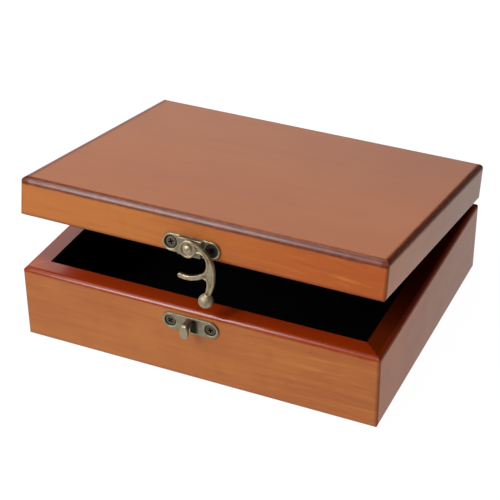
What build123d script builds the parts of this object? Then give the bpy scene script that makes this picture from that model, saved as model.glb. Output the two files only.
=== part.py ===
from build123d import *
import math
import os

# Wooden keepsake box: a mitred, lined base and a lid of the same build, hung on two
# small brass hinges along the long back side, closed by a swing hook on the front.
# Millimetres. Origin on the table under the middle of the box, +X to the right,
# +Y to the hinge side, +Z up. The lid stands ajar, as it is kept for display.

# ---- driving dimensions: wood ----
box_width = 200.0          # along X
box_depth = 160.0          # along Y
base_height = 43.0
lid_height = 21.6
wall = 10.8                # thickness of the four sides
panel_thick = 6.0          # lid board
bottom_thick = 5.0         # board in the base
bottom_rebate = 3.8        # how far the bottom board is let into the sides
lid_top_r = 3.6            # rounding along the lid's upper edges
lid_low_r = 2.5            # rounding along the lid's lower outer edges
rim_r = 2.8                # rounding along the base's upper outer edges
foot_r = 2.4               # rounding along the base's lower outer edges
corner_r = 1.7             # rounding down the four upright corners

# ---- driving dimensions: lining ----
lining_floor = 1.2
lining_side = 1.0
lining_below_rim = 1.0     # the lining stops this far short of the rim

# ---- driving dimensions: hinges ----
lid_gap = 1.6              # rim to rim at the hinge, with the two leaves between
hinge_out = 2.4            # hinge axis behind the back face
ajar_deg = 10.3            # how far the lid stands open, from rims parallel
open_deg = 105.3           # where the hinge's stop tails meet the back of the base
leaf_thick = 0.7
leaf_length = 25.0
leaf_reach = 11.2          # from the axis onto the rim
leaf_notch = 2.8           # the flat stops this far from the axis, beside the other leaf's knuckles
knuckle_r = 1.8
pin_r = 0.9
pin_play = 0.05
hinge_x = 62.0
knuckle_gap = 0.2
tail_thick = 0.8
tail_reach = 5.6
hinge_screw_r = 0.9
hinge_head_r = 1.9
hinge_screw_length = 9.0
hinge_screw_dx = 7.5
hinge_screw_in = 7.0       # from the axis

# ---- driving dimensions: clasp ----
clasp_x = -1.5             # centre of both plates
plate_length = 31.6
plate_height = 9.8
plate_thick = 1.1
lid_plate_y = 5.85         # plate centre above the lid's lower edge
strike_plate_y = -8.65     # plate centre below the base's upper edge
screw_dx = 11.2
recess_r = 3.3
clasp_head_r = 2.75
clasp_screw_r = 1.45
clasp_screw_length = 10.0
block_width = 13.0
block_out = 3.2            # face of the raised middle of the plate
hook_back = 3.35
hook_thick = 2.0
eye_r = 4.75
rivet_r = 1.5
rivet_play = 0.05
dome_r = 2.2
dome_height = 1.2
prong_inner_r = 13.9
prong_outer_r = 16.45
ball_x = 11.4
ball_y = -25.2
ball_r = 3.85
claw_half = 2.3            # half the width of the claw's oval tab
claw_mid_y = -8.6          # middle of the tab below the base's upper edge
claw_tall = 4.35           # half the tab's height
neck_half = 1.45           # half the width of the claw's neck

os.makedirs("parts", exist_ok=True)

inner_width = box_width - 2 * wall
inner_depth = box_depth - 2 * wall
hinge_y = box_depth / 2 + hinge_out
hinge_z = base_height + lid_gap / 2
ajar = math.radians(ajar_deg)

# The lid's own frame: origin on the hinge axis, local Y to the back, local Z square to
# the lid. In it the lid's rim lies at lid_gap / 2 and its middle at lid_mid.
lid_frame = Plane(
    origin=(0, hinge_y, hinge_z),
    x_dir=(1, 0, 0),
    z_dir=(0, math.sin(ajar), math.cos(ajar)),
)
lid_back_dir = lid_frame.y_dir
lid_up_dir = lid_frame.z_dir
lid_mid = -(box_depth / 2 + hinge_out)
lid_rim = lid_gap / 2
side_height = lid_height - panel_thick

# Plane of the lid's front face (local Y up from the lower edge, local Z outwards) and
# plane of the base's front face (local Y up from the upper edge, local Z outwards).
lid_front = Plane(
    origin=lid_frame.from_local_coords(Vector(0, lid_mid - box_depth / 2, lid_rim)),
    x_dir=(1, 0, 0),
    z_dir=lid_back_dir * -1,
)
base_front = Plane(
    origin=(0, -box_depth / 2, base_height), x_dir=(1, 0, 0), z_dir=(0, -1, 0)
)

X_DIR, Y_DIR, Z_DIR = Vector(1, 0, 0), Vector(0, 1, 0), Vector(0, 0, 1)


# =====================================================================
# Base: four mitred sides with a rebate for the bottom board
# =====================================================================
base_sides = [
    ("base_front_wall", Y_DIR * -1, X_DIR, box_depth / 2, box_width / 2),
    ("base_back_wall", Y_DIR, X_DIR * -1, box_depth / 2, box_width / 2),
    ("base_left_wall", X_DIR * -1, Y_DIR * -1, box_width / 2, box_depth / 2),
    ("base_right_wall", X_DIR, Y_DIR, box_width / 2, box_depth / 2),
]
for name, out, along, reach, half in base_sides:
    with BuildPart() as base_side:
        # moulded section of the side, outer face at local X = 0
        with BuildSketch(Plane(origin=out * reach, x_dir=out, z_dir=out.cross(Z_DIR))):
            with BuildLine():
                Line((0, foot_r), (0, base_height - rim_r))
                CenterArc((-rim_r, base_height - rim_r), rim_r, 0, 90)
                Polyline(
                    (-rim_r, base_height),
                    (-wall, base_height),
                    (-wall, bottom_thick),
                    (-wall + bottom_rebate, bottom_thick),
                    (-wall + bottom_rebate, 0),
                    (-foot_r, 0),
                )
                CenterArc((-foot_r, foot_r), foot_r, -90, 90)
            make_face()
        extrude(amount=half + 1, both=True)
        # mitres at both ends
        split(bisect_by=Plane(origin=out * reach + along * half, z_dir=out - along), keep=Keep.TOP)
        split(bisect_by=Plane(origin=out * reach - along * half, z_dir=out + along), keep=Keep.TOP)
        # upright corners eased
        with BuildSketch(Plane.XY):
            RectangleRounded(box_width, box_depth, corner_r)
        extrude(amount=base_height, mode=Mode.INTERSECT)
        if name == "base_front_wall":
            with Locations(base_front.offset(plate_thick)):
                with Locations(
                    (clasp_x - screw_dx, strike_plate_y, 0),
                    (clasp_x + screw_dx, strike_plate_y, 0),
                ):
                    CounterSinkHole(clasp_screw_r, recess_r, clasp_screw_length, 90)
        if name == "base_back_wall":
            with Locations(Plane.XY.offset(base_height + leaf_thick)):
                with Locations(
                    *[
                        (hx + dx, hinge_y - hinge_screw_in, 0)
                        for hx in (-hinge_x, hinge_x)
                        for dx in (-hinge_screw_dx, hinge_screw_dx)
                    ]
                ):
                    CounterSinkHole(hinge_screw_r, hinge_head_r, hinge_screw_length + 0.5, 90)
    base_side.part.label = name
    export_step(base_side.part, f"parts/{name}.step")

# Bottom board, let into the rebate and flush with the underside
with BuildPart() as base_bottom_panel:
    with BuildSketch(Plane.XY):
        Rectangle(inner_width + 2 * bottom_rebate - 0.2, inner_depth + 2 * bottom_rebate - 0.2)
    extrude(amount=bottom_thick)
base_bottom_panel.part.label = "base_bottom_panel"
export_step(base_bottom_panel.part, "parts/base_bottom_panel.step")

# Black lining of the base: a floor and four sides
with BuildPart() as base_floor_lining:
    with BuildSketch(Plane.XY.offset(bottom_thick)):
        Rectangle(inner_width, inner_depth)
    extrude(amount=lining_floor)
base_floor_lining.part.label = "base_floor_lining"
export_step(base_floor_lining.part, "parts/base_floor_lining.step")

base_lining_low = bottom_thick + lining_floor
base_lining_high = base_height - lining_below_rim
base_linings = [
    ("base_front_lining", 0, -(inner_depth - lining_side) / 2, inner_width, lining_side),
    ("base_back_lining", 0, (inner_depth - lining_side) / 2, inner_width, lining_side),
    ("base_left_lining", -(inner_width - lining_side) / 2, 0, lining_side, inner_depth - 2 * lining_side),
    ("base_right_lining", (inner_width - lining_side) / 2, 0, lining_side, inner_depth - 2 * lining_side),
]
for name, cx, cy, sx, sy in base_linings:
    with BuildPart() as base_lining:
        with BuildSketch(Plane.XY.offset(base_lining_low)):
            with Locations((cx, cy)):
                Rectangle(sx, sy)
        extrude(amount=base_lining_high - base_lining_low)
    base_lining.part.label = name
    export_step(base_lining.part, f"parts/{name}.step")

# =====================================================================
# Lid: four mitred sides under a board, all edges rounded
# =====================================================================
lid_centre = lid_frame.from_local_coords(Vector(0, lid_mid, lid_rim))
lid_sides = [
    ("lid_front_wall", lid_back_dir * -1, X_DIR, box_depth / 2, box_width / 2),
    ("lid_back_wall", lid_back_dir, X_DIR * -1, box_depth / 2, box_width / 2),
    ("lid_left_wall", X_DIR * -1, lid_back_dir * -1, box_width / 2, box_depth / 2),
    ("lid_right_wall", X_DIR, lid_back_dir, box_width / 2, box_depth / 2),
]
for name, out, along, reach, half in lid_sides:
    with BuildPart() as lid_side:
        with BuildSketch(
            Plane(origin=lid_centre + out * reach, x_dir=out, z_dir=out.cross(lid_up_dir))
        ):
            with BuildLine():
                Line((0, lid_low_r), (0, side_height))
                Line((0, side_height), (-wall, side_height))
                Line((-wall, side_height), (-wall, 0))
                Line((-wall, 0), (-lid_low_r, 0))
                CenterArc((-lid_low_r, lid_low_r), lid_low_r, -90, 90)
            make_face()
        extrude(amount=half + 1, both=True)
        split(
            bisect_by=Plane(origin=lid_centre + out * reach + along * half, z_dir=out - along),
            keep=Keep.TOP,
        )
        split(
            bisect_by=Plane(origin=lid_centre + out * reach - along * half, z_dir=out + along),
            keep=Keep.TOP,
        )
        with BuildSketch(lid_frame.offset(lid_rim)):
            with Locations((0, lid_mid)):
                RectangleRounded(box_width, box_depth, corner_r)
        extrude(amount=side_height, mode=Mode.INTERSECT)
        if name == "lid_front_wall":
            with Locations(lid_front.offset(plate_thick)):
                with Locations(
                    (clasp_x - screw_dx, lid_plate_y, 0),
                    (clasp_x + screw_dx, lid_plate_y, 0),
                ):
                    CounterSinkHole(clasp_screw_r, recess_r, clasp_screw_length, 90)
        if name == "lid_back_wall":
            # the hinge screws enter from the rim, so their plane faces downwards
            with Locations(
                Plane(
                    origin=lid_frame.from_local_coords(Vector(0, 0, lid_rim - leaf_thick)),
                    x_dir=(1, 0, 0),
                    z_dir=lid_up_dir * -1,
                )
            ):
                with Locations(
                    *[
                        (hx + dx, hinge_screw_in, 0)
                        for hx in (-hinge_x, hinge_x)
                        for dx in (-hinge_screw_dx, hinge_screw_dx)
                    ]
                ):
                    CounterSinkHole(hinge_screw_r, hinge_head_r, hinge_screw_length + 0.5, 90)
    lid_side.part.label = name
    export_step(lid_side.part, f"parts/{name}.step")

with BuildPart() as lid_top_panel:
    with BuildSketch(lid_frame.offset(lid_rim + side_height)):
        with Locations((0, lid_mid)):
            Rectangle(box_width, box_depth)
    extrude(amount=panel_thick)
    fillet(
        lid_top_panel.faces().sort_by(Axis((0, 0, 0), lid_up_dir))[-1].edges(), lid_top_r
    )
    with BuildSketch(lid_frame.offset(lid_rim + side_height)):
        with Locations((0, lid_mid)):
            RectangleRounded(box_width, box_depth, corner_r)
    extrude(amount=panel_thick, mode=Mode.INTERSECT)
lid_top_panel.part.label = "lid_top_panel"
export_step(lid_top_panel.part, "parts/lid_top_panel.step")

# Black lining of the lid
with BuildPart() as lid_top_lining:
    with BuildSketch(lid_frame.offset(lid_rim + side_height - lining_floor)):
        with Locations((0, lid_mid)):
            Rectangle(inner_width, inner_depth)
    extrude(amount=lining_floor)
lid_top_lining.part.label = "lid_top_lining"
export_step(lid_top_lining.part, "parts/lid_top_lining.step")

lid_lining_low = lid_rim + lining_below_rim
lid_lining_high = lid_rim + side_height - lining_floor
lid_linings = [
    ("lid_front_lining", 0, -(inner_depth - lining_side) / 2, inner_width, lining_side),
    ("lid_back_lining", 0, (inner_depth - lining_side) / 2, inner_width, lining_side),
    ("lid_left_lining", -(inner_width - lining_side) / 2, 0, lining_side, inner_depth - 2 * lining_side),
    ("lid_right_lining", (inner_width - lining_side) / 2, 0, lining_side, inner_depth - 2 * lining_side),
]
for name, cx, cy, sx, sy in lid_linings:
    with BuildPart() as lid_lining:
        with BuildSketch(lid_frame.offset(lid_lining_low)):
            with Locations((cx, lid_mid + cy)):
                Rectangle(sx, sy)
        extrude(amount=lid_lining_high - lid_lining_low)
    lid_lining.part.label = name
    export_step(lid_lining.part, f"parts/{name}.step")

# =====================================================================
# Hinges: two butt hinges laid on the rims, five knuckles on a fixed pin.
# The lid's two knuckles carry a stop tail each.
# =====================================================================
knuckle = leaf_length / 5
base_knuckles = [-2 * knuckle, 0.0, 2 * knuckle]
lid_knuckles = [-knuckle, knuckle]
open_at = math.radians(open_deg)

for side, hx in (("left", -hinge_x), ("right", hinge_x)):
    # leaf on the base: section in the YZ plane, run along X
    with BuildPart() as base_leaf:
        with BuildSketch(Plane.XY.offset(base_height)):
            with Locations((hx, hinge_y - (leaf_reach + leaf_notch) / 2)):
                Rectangle(leaf_length, leaf_reach - leaf_notch)
        extrude(amount=leaf_thick)
        for kx in base_knuckles:
            with BuildSketch(Plane(origin=(hx + kx, hinge_y, hinge_z), x_dir=(0, 1, 0), z_dir=(1, 0, 0))):
                Circle(knuckle_r)
                with Locations((-1.6, -lid_gap / 2 + leaf_thick / 2)):
                    Rectangle(3.2, leaf_thick)
                Circle(pin_r, mode=Mode.SUBTRACT)
            extrude(amount=(knuckle - knuckle_gap) / 2, both=True)
        with Locations(Plane.XY.offset(base_height + leaf_thick)):
            with Locations(
                (hx - hinge_screw_dx, hinge_y - hinge_screw_in, 0),
                (hx + hinge_screw_dx, hinge_y - hinge_screw_in, 0),
            ):
                CounterSinkHole(hinge_screw_r, hinge_head_r, hinge_screw_length, 90)
    base_leaf.part.label = f"{side}_hinge_base_leaf"
    export_step(base_leaf.part, f"parts/{side}_hinge_base_leaf.step")

    # leaf on the lid, in the lid's frame
    with BuildPart() as lid_leaf:
        with BuildSketch(lid_frame.offset(lid_rim - leaf_thick)):
            with Locations((hx, -(leaf_reach + leaf_notch) / 2)):
                Rectangle(leaf_length, leaf_reach - leaf_notch)
        extrude(amount=leaf_thick)
        for kx in lid_knuckles:
            with BuildSketch(
                Plane(
                    origin=lid_frame.from_local_coords(Vector(hx + kx, 0, 0)),
                    x_dir=lid_back_dir,
                    z_dir=(1, 0, 0),
                )
            ):
                Circle(knuckle_r)
                with Locations((-1.6, lid_gap / 2 - leaf_thick / 2)):
                    Rectangle(3.2, leaf_thick)
                # stop tail: lies against the back face when the lid is fully open
                with Locations(Location((0, 0, 0), (0, 0, open_deg))):
                    with Locations((-hinge_out + 0.1 + tail_thick / 2, -tail_reach / 2)):
                        Rectangle(tail_thick, tail_reach)
                Circle(pin_r + pin_play, mode=Mode.SUBTRACT)
            extrude(amount=(knuckle - knuckle_gap) / 2, both=True)
        with Locations(
            Plane(
                origin=lid_frame.from_local_coords(Vector(0, 0, lid_rim - leaf_thick)),
                x_dir=(1, 0, 0),
                z_dir=lid_up_dir * -1,
            )
        ):
            with Locations(
                (hx - hinge_screw_dx, hinge_screw_in, 0),
                (hx + hinge_screw_dx, hinge_screw_in, 0),
            ):
                CounterSinkHole(hinge_screw_r, hinge_head_r, hinge_screw_length, 90)
    lid_leaf.part.label = f"{side}_hinge_lid_leaf"
    export_step(lid_leaf.part, f"parts/{side}_hinge_lid_leaf.step")

    with BuildPart() as hinge_pin:
        with BuildSketch(Plane(origin=(hx, hinge_y, hinge_z), x_dir=(0, 1, 0), z_dir=(1, 0, 0))):
            Circle(pin_r)
        extrude(amount=leaf_length / 2, both=True)
    hinge_pin.part.label = f"{side}_hinge_pin"
    export_step(hinge_pin.part, f"parts/{side}_hinge_pin.step")

# Hinge screws: four into the base, four into the lid, countersunk flush, cross recess
head_deep = hinge_head_r - hinge_screw_r
with BuildPart() as base_hinge_screws:
    with Locations(Plane.XY.offset(base_height + leaf_thick)):
        with Locations(
            *[
                (hx + dx, hinge_y - hinge_screw_in, 0)
                for hx in (-hinge_x, hinge_x)
                for dx in (-hinge_screw_dx, hinge_screw_dx)
            ]
        ):
            Cone(hinge_screw_r, hinge_head_r, head_deep, align=(Align.CENTER, Align.CENTER, Align.MAX))
            Cylinder(hinge_screw_r, hinge_screw_length, align=(Align.CENTER, Align.CENTER, Align.MAX))
            Box(2.2, 0.5, 0.7, align=(Align.CENTER, Align.CENTER, Align.MAX), mode=Mode.SUBTRACT)
            Box(0.5, 2.2, 0.7, align=(Align.CENTER, Align.CENTER, Align.MAX), mode=Mode.SUBTRACT)
base_hinge_screws.part.label = "base_hinge_screws"
export_step(base_hinge_screws.part, "parts/base_hinge_screws.step")

with BuildPart() as lid_hinge_screws:
    with Locations(
        Plane(
            origin=lid_frame.from_local_coords(Vector(0, 0, lid_rim - leaf_thick)),
            x_dir=(1, 0, 0),
            z_dir=lid_up_dir * -1,
        )
    ):
        with Locations(
            *[
                (hx + dx, hinge_screw_in, 0)
                for hx in (-hinge_x, hinge_x)
                for dx in (-hinge_screw_dx, hinge_screw_dx)
            ]
        ):
            Cone(hinge_screw_r, hinge_head_r, head_deep, align=(Align.CENTER, Align.CENTER, Align.MAX))
            Cylinder(hinge_screw_r, hinge_screw_length, align=(Align.CENTER, Align.CENTER, Align.MAX))
            Box(2.2, 0.5, 0.7, align=(Align.CENTER, Align.CENTER, Align.MAX), mode=Mode.SUBTRACT)
            Box(0.5, 2.2, 0.7, align=(Align.CENTER, Align.CENTER, Align.MAX), mode=Mode.SUBTRACT)
lid_hinge_screws.part.label = "lid_hinge_screws"
export_step(lid_hinge_screws.part, "parts/lid_hinge_screws.step")

# =====================================================================
# Clasp on the lid: an obround plate with a raised middle, a rivet, and the hook
# =====================================================================
with BuildPart() as latch_plate:
    with BuildSketch(lid_front):
        with Locations((clasp_x, lid_plate_y)):
            SlotOverall(plate_length, plate_height)
    extrude(amount=plate_thick)
    chamfer(
        latch_plate.faces().sort_by(Axis((0, 0, 0), lid_front.z_dir))[-1].edges(), 0.35
    )
    with BuildSketch(lid_front):
        with Locations((clasp_x, lid_plate_y)):
            Rectangle(block_width, plate_height - 0.1)
    extrude(amount=block_out)
    chamfer(
        latch_plate.faces().sort_by(Axis((0, 0, 0), lid_front.z_dir))[-1].edges(), 0.45
    )
    with Locations(lid_front.offset(plate_thick)):
        with Locations(
            (clasp_x - screw_dx, lid_plate_y, 0), (clasp_x + screw_dx, lid_plate_y, 0)
        ):
            CounterSinkHole(clasp_screw_r, recess_r, clasp_screw_length, 90)
    with Locations(lid_front):
        with Locations((clasp_x, lid_plate_y, 0)):
            Cylinder(rivet_r, 20, mode=Mode.SUBTRACT)
latch_plate.part.label = "latch_plate"
export_step(latch_plate.part, "parts/latch_plate.step")

# Screws: countersunk heads a little below the plate's face, cross recess, blunt point
clasp_head_deep = clasp_head_r - clasp_screw_r
clasp_head_low = recess_r - clasp_head_r
for name, face, py in (
    ("latch_plate_screws", lid_front, lid_plate_y),
    ("strike_plate_screws", base_front, strike_plate_y),
):
    with BuildPart() as clasp_screws:
        with Locations(face.offset(plate_thick - clasp_head_low)):
            with Locations((clasp_x - screw_dx, py, 0), (clasp_x + screw_dx, py, 0)):
                Cone(clasp_screw_r, clasp_head_r, clasp_head_deep, align=(Align.CENTER, Align.CENTER, Align.MAX))
                Cylinder(clasp_screw_r, clasp_screw_length - 1.5, align=(Align.CENTER, Align.CENTER, Align.MAX))
                Box(3.2, 0.7, 0.95, align=(Align.CENTER, Align.CENTER, Align.MAX), mode=Mode.SUBTRACT)
                Box(0.7, 3.2, 0.95, align=(Align.CENTER, Align.CENTER, Align.MAX), mode=Mode.SUBTRACT)
    clasp_screws.part.label = name
    export_step(clasp_screws.part, f"parts/{name}.step")

# Rivet: stem through plate and hook, domed head over the hook's eye
rivet_top = hook_back + hook_thick + 0.12
dome_sphere = (dome_r**2 + dome_height**2) / (2 * dome_height)
with BuildPart() as latch_rivet:
    with Locations(lid_front):
        with Locations((clasp_x, lid_plate_y, rivet_top + dome_height - dome_sphere)):
            Sphere(dome_sphere)
    split(bisect_by=lid_front.offset(rivet_top), keep=Keep.TOP)
    with Locations(lid_front):
        with Locations((clasp_x, lid_plate_y, 0.2)):
            Cylinder(
                rivet_r, rivet_top - 0.2, align=(Align.CENTER, Align.CENTER, Align.MIN)
            )
latch_rivet.part.label = "latch_rivet"
export_step(latch_rivet.part, "parts/latch_rivet.step")

# Hook: flat arm swept round from the eye, a prong concentric with the rivet, a ball end
hook_plane = Plane(
    origin=lid_front.from_local_coords(Vector(clasp_x, lid_plate_y, hook_back)),
    x_dir=(1, 0, 0),
    z_dir=lid_front.z_dir,
)


def polar(r, deg):
    return (r * math.cos(math.radians(deg)), r * math.sin(math.radians(deg)))


prong_mid_r = (prong_inner_r + prong_outer_r) / 2
prong_half = (prong_outer_r - prong_inner_r) / 2
tip_deg = -103.0
root_deg = -60.0
with BuildPart() as latch_hook:
    with BuildSketch(hook_plane):
        with BuildLine():
            # outer edge, from the top of the eye down to the ball
            Spline(
                (0.9, 4.6),
                (5.2, 3.2),
                (8.7, 1.35),
                (11.5, -0.9),
                (13.85, -4.45),
                (15.2, -8.9),
                (15.6, -12.6),
                (15.25, -17.0),
                (13.6, -22.6),
                tangents=[(1, -0.12), (-0.36, -1)],
            )
            Line((13.6, -22.6), (10.3, -22.6))
            # inner edge of the stem, up to the prong
            Spline(
                (10.3, -22.6),
                (11.2, -19.1),
                (11.4, -16.4),
                (10.9, -14.6),
                polar(prong_outer_r, -57.5),
                tangents=[(0.3, 1), (-0.86, -0.5)],
            )
            # prong: two arcs about the rivet, joined by a round tip
            ThreePointArc(
                polar(prong_outer_r, -57.5),
                polar(prong_outer_r, -80),
                polar(prong_outer_r, tip_deg),
            )
            ThreePointArc(
                polar(prong_outer_r, tip_deg),
                (
                    polar(prong_mid_r, tip_deg)[0] + prong_half * math.cos(math.radians(tip_deg - 90)),
                    polar(prong_mid_r, tip_deg)[1] + prong_half * math.sin(math.radians(tip_deg - 90)),
                ),
                polar(prong_inner_r, tip_deg),
            )
            ThreePointArc(
                polar(prong_inner_r, tip_deg),
                polar(prong_inner_r, -80),
                polar(prong_inner_r, root_deg),
            )
            # inside of the bow, back up to the eye
            Spline(
                polar(prong_inner_r, root_deg),
                (9.35, -10.4),
                (10.35, -8.0),
                (10.3, -5.2),
                (8.9, -2.5),
                (6.9, -1.35),
                (3.6, -1.6),
                tangents=[(0.87, 0.5), (-1, -0.45)],
            )
            Line((3.6, -1.6), (0.9, 4.6))
        make_face()
        Circle(eye_r)
        Circle(rivet_r + rivet_play, mode=Mode.SUBTRACT)
    extrude(amount=hook_thick)
    # ring groove round the rivet's head
    with BuildSketch(hook_plane.offset(hook_thick - 0.35)):
        Circle(3.75)
        Circle(2.75, mode=Mode.SUBTRACT)
    extrude(amount=0.5, mode=Mode.SUBTRACT)
    with Locations(hook_plane):
        with Locations((ball_x, ball_y, hook_thick / 2)):
            Sphere(ball_r)
latch_hook.part.label = "latch_hook"
export_step(latch_hook.part, "parts/latch_hook.step")

# =====================================================================
# Catch on the base: an obround plate with a claw, whose neck stands out from below the
# plate's upper edge and turns down into an oval tab; the hook's prong swings in under
# the neck, behind the tab
# =====================================================================
with BuildPart() as strike_plate:
    # claw: side section, local X outwards from the base's face, local Y up
    with BuildSketch(
        Plane(
            origin=(clasp_x, -box_depth / 2, base_height), x_dir=(0, -1, 0), z_dir=(-1, 0, 0)
        )
    ):
        with BuildLine():
            Line((0.4, -7.0), (0.4, -4.1))
            Line((0.4, -4.1), (6.9, -4.3))
            Spline(
                (6.9, -4.3),
                (8.1, -4.95),
                (8.5, -6.6),
                (8.5, -9.2),
                (8.3, -11.9),
                tangents=[(1, -0.03), (-0.12, -1)],
            )
            ThreePointArc((8.3, -11.9), (7.45, -12.8), (6.6, -12.0))
            Line((6.6, -12.0), (6.5, -7.6))
            ThreePointArc((6.5, -7.6), (6.3, -7.18), (5.9, -7.0))
            Line((5.9, -7.0), (0.4, -7.0))
        make_face()
    extrude(amount=claw_half, both=True)
    # front outline of the claw: the neck over the oval
    with BuildSketch(base_front):
        with Locations((clasp_x, claw_mid_y)):
            Ellipse(claw_half, claw_tall)
        with Locations((clasp_x, -5.6)):
            Rectangle(2 * neck_half, 3.2)
    extrude(amount=9.5, mode=Mode.INTERSECT)
    # plate, its front edge bevelled
    with BuildSketch(base_front):
        with Locations((clasp_x, strike_plate_y)):
            SlotOverall(plate_length, plate_height)
    extrude(amount=plate_thick - 0.35)
    with BuildSketch(base_front.offset(plate_thick - 0.35)):
        with Locations((clasp_x, strike_plate_y)):
            SlotOverall(plate_length, plate_height)
    extrude(amount=0.35, taper=45)
    with Locations(base_front.offset(plate_thick)):
        with Locations(
            (clasp_x - screw_dx, strike_plate_y, 0), (clasp_x + screw_dx, strike_plate_y, 0)
        ):
            CounterSinkHole(clasp_screw_r, recess_r, clasp_screw_length, 90)
strike_plate.part.label = "strike_plate"
export_step(strike_plate.part, "parts/strike_plate.step")
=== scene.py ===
import math

import bpy
import numpy as np
from mathutils import Matrix, Quaternion, Vector


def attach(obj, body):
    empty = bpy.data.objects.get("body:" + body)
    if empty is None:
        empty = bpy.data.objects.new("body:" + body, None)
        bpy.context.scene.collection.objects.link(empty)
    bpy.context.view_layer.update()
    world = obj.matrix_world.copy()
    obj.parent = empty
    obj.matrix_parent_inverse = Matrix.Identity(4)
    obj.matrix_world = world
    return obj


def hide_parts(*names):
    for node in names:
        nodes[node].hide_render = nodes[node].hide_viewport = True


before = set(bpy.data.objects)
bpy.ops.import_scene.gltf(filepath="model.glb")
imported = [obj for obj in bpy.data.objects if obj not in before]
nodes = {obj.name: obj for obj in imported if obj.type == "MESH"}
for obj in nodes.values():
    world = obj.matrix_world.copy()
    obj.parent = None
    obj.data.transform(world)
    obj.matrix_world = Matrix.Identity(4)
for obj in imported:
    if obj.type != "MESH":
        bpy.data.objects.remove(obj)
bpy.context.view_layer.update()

# =====================================================================
# Shared dimensions, millimetres, as in the part
# =====================================================================
MM = 0.001
AJAR = math.radians(10.3)
CA, SA = math.cos(AJAR), math.sin(AJAR)
HINGE_Y, HINGE_Z = 82.4, 43.8
HALF_W, HALF_D = 100.0, 80.0
BASE_H = 43.0
LID_LOW, LID_TOP = 44.6, 66.2          # with the lid turned back to level
CLASP_X = -1.5
LID_PLATE_Y, STRIKE_Y = 5.85, -8.65
SCREW_DX = 11.2
HOOK_BACK, HOOK_THICK = 3.35, 2.0
BALL_X, BALL_Y, BALL_R = 11.4, -25.2, 3.85

FINE = 1.0


# ---- local planes: X right, Y up along the face, Z out of the face ----
def plane(origin, up, out):
    up, out = Vector(up), Vector(out)
    right = up.cross(out)
    m = Matrix.Identity(4)
    for i in range(3):
        m[i][0], m[i][1], m[i][2], m[i][3] = right[i], up[i], out[i], origin[i] * MM
    return m


def lid_point(x, back, up):
    return (x, HINGE_Y + back * CA + up * SA, HINGE_Z - back * SA + up * CA)


LID_FRONT = plane(lid_point(0, -162.4, 0.8), (0, SA, CA), (0, -CA, SA))
BASE_FRONT = plane((0, -HALF_D, BASE_H), (0, 0, 1), (0, -1, 0))
BASE_RIM = plane((0, 0, BASE_H), (0, 1, 0), (0, 0, 1))
# the lid's rim seen from below: X right, Y towards the front, Z down
LID_RIM = plane(lid_point(0, 0, 0.8), (0, -CA, SA), (0, -SA, -CA))


# =====================================================================
# Signed-distance modelling of the small castings
# =====================================================================
def smin(a, b, k):
    h = np.clip(0.5 + 0.5 * (b - a) / k, 0.0, 1.0)
    return b + (a - b) * h - k * h * (1.0 - h)


def smax(a, b, k):
    return -smin(-a, -b, k)


def ss(lo, hi, x):
    t = np.clip((x - lo) / (hi - lo), 0.0, 1.0)
    return t * t * (3.0 - 2.0 * t)


def d_polygon(x, y, pts):
    """Signed distance from (x, y) to a closed polygon, negative inside."""
    pts = np.asarray(pts, float)
    d = np.full(x.shape, 1e9)
    inside = np.zeros(x.shape, bool)
    j = len(pts) - 1
    for i in range(len(pts)):
        ax, ay = pts[i]
        bx, by = pts[j]
        ex, ey = bx - ax, by - ay
        wx, wy = x - ax, y - ay
        t = np.clip((wx * ex + wy * ey) / max(ex * ex + ey * ey, 1e-12), 0.0, 1.0)
        d = np.minimum(d, (wx - ex * t) ** 2 + (wy - ey * t) ** 2)
        if abs(by - ay) > 1e-12:
            cross = ((ay > y) != (by > y)) & (x < ex * (y - ay) / (by - ay) + ax)
            inside ^= cross
        j = i
    d = np.sqrt(d)
    return np.where(inside, -d, d)


def spline(pts, steps=8):
    """Smooth curve through the points (centripetal Catmull-Rom)."""
    p = np.asarray(pts, float)
    p = np.vstack([2 * p[0] - p[1], p, 2 * p[-1] - p[-2]])
    out = []
    for i in range(1, len(p) - 2):
        p0, p1, p2, p3 = p[i - 1 : i + 3]
        t0 = 0.0
        t1 = t0 + max(np.linalg.norm(p1 - p0), 1e-6) ** 0.5
        t2 = t1 + max(np.linalg.norm(p2 - p1), 1e-6) ** 0.5
        t3 = t2 + max(np.linalg.norm(p3 - p2), 1e-6) ** 0.5
        for t in np.linspace(t1, t2, steps, endpoint=False):
            a1 = (t1 - t) / (t1 - t0) * p0 + (t - t0) / (t1 - t0) * p1
            a2 = (t2 - t) / (t2 - t1) * p1 + (t - t1) / (t2 - t1) * p2
            a3 = (t3 - t) / (t3 - t2) * p2 + (t - t2) / (t3 - t2) * p3
            b1 = (t2 - t) / (t2 - t0) * a1 + (t - t0) / (t2 - t0) * a2
            b2 = (t3 - t) / (t3 - t1) * a2 + (t - t1) / (t3 - t1) * a3
            out.append((t2 - t) / (t2 - t1) * b1 + (t - t1) / (t2 - t1) * b2)
    out.append(p[-2])
    return [tuple(v) for v in out]


def polar(r, deg):
    return (r * math.cos(math.radians(deg)), r * math.sin(math.radians(deg)))


def arc(r, a, b, steps=20):
    return [polar(r, a + (b - a) * i / steps) for i in range(steps + 1)]


EDGE_PAIRS = [
    ((0, 0, 0), (1, 0, 0)), ((0, 1, 0), (1, 1, 0)), ((0, 0, 1), (1, 0, 1)), ((0, 1, 1), (1, 1, 1)),
    ((0, 0, 0), (0, 1, 0)), ((1, 0, 0), (1, 1, 0)), ((0, 0, 1), (0, 1, 1)), ((1, 0, 1), (1, 1, 1)),
    ((0, 0, 0), (0, 0, 1)), ((1, 0, 0), (1, 0, 1)), ((0, 1, 0), (0, 1, 1)), ((1, 1, 0), (1, 1, 1)),
]


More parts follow.
